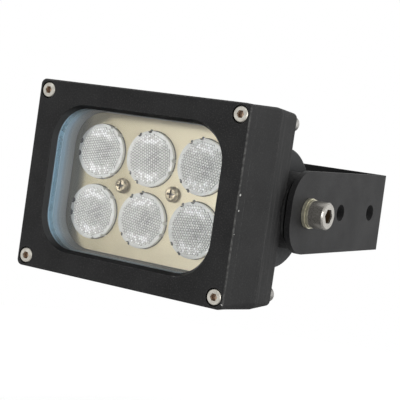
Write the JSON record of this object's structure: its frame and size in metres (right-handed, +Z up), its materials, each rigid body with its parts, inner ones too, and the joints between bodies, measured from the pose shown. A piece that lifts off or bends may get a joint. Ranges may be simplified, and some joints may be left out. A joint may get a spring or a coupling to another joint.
{
  "type": "white light illuminator",
  "caption": "Compact black floodlight head with a window over pebbled lenses, tipping between the ears of a folded U-shaped wall bracket on two side bolts.",
  "frame": {"origin": "centre of the bracket's wall face, on the centre line of its base holes", "axes": "+X to the side seen in the picture, +Y into the wall, +Z up; the head faces -Y"},
  "size_m": [0.115, 0.1128, 0.0712],
  "materials": {
    "black_powder_coat": "satin black powder coat, fine texture, worn and chipped white at the front edges",
    "zinc_screw": "bright zinc, dull in the sockets",
    "bright_bolt": "bright stainless, faint yellow passivation on the washers",
    "window_glass": "clear flat glass",
    "grey_seal": "smooth blue-grey silicone",
    "black_rubber": "matt",
    "black_nylon": "matt moulded",
    "gland_nylon": "matt moulded nylon",
    "cream_plate": "warm cream satin paint",
    "clear_lens": "clear moulded acrylic with a pebbled face",
    "emitter_body": "white package under a yellow phosphor dome",
    "board_laminate": "white solder mask",
    "spreader_aluminium": "milled",
    "capacitor_can": "sleeved can",
    "terminal_green": "moulded"
  },
  "bodies": {
    "bracket": {"bracket": "black_powder_coat"},
    "head": {"front_bezel": "black_powder_coat", "bezel_screws": "zinc_screw", "window_glass": "window_glass", "glass_seal": "grey_seal", "housing": "black_powder_coat", "lens_plate": "cream_plate", "plate_screws": "zinc_screw", "plate_spacers": "black_nylon", "lens_1": "clear_lens", "lens_2": "clear_lens", "lens_3": "clear_lens", "lens_4": "clear_lens", "lens_5": "clear_lens", "lens_6": "clear_lens", "led_1": "emitter_body", "led_2": "emitter_body", "led_3": "emitter_body", "led_4": "emitter_body", "led_5": "emitter_body", "led_6": "emitter_body", "led_board": "board_laminate", "heat_spreader": "spreader_aluminium", "spreader_screws": "zinc_screw", "rear_cover": "black_powder_coat", "cover_seal": "black_rubber", "cover_screws": "zinc_screw", "cover_washers": "black_rubber", "driver_board": "board_laminate", "driver_posts": "zinc_screw", "driver_screws": "zinc_screw", "inductor": "black_nylon", "capacitors": "capacitor_can", "control_chip": "black_nylon", "terminal_block": "terminal_green", "board_link": "black_nylon", "gland_washer": "black_rubber", "gland_body": "gland_nylon", "gland_seal": "black_rubber", "gland_nut": "gland_nylon", "friction_washers": "black_nylon", "flat_washers": "bright_bolt", "spring_washers": "bright_bolt", "hinge_bolt_right": "bright_bolt", "hinge_bolt_left": "bright_bolt"}
  },
  "joints": [
    {"name": "head_tilt", "type": "hinge", "parent": "bracket", "child": "head", "pos_m": [0, -0.067, 0], "axis": [1, 0, 0], "range_deg": [-88.25, 91.75]}
  ]
}
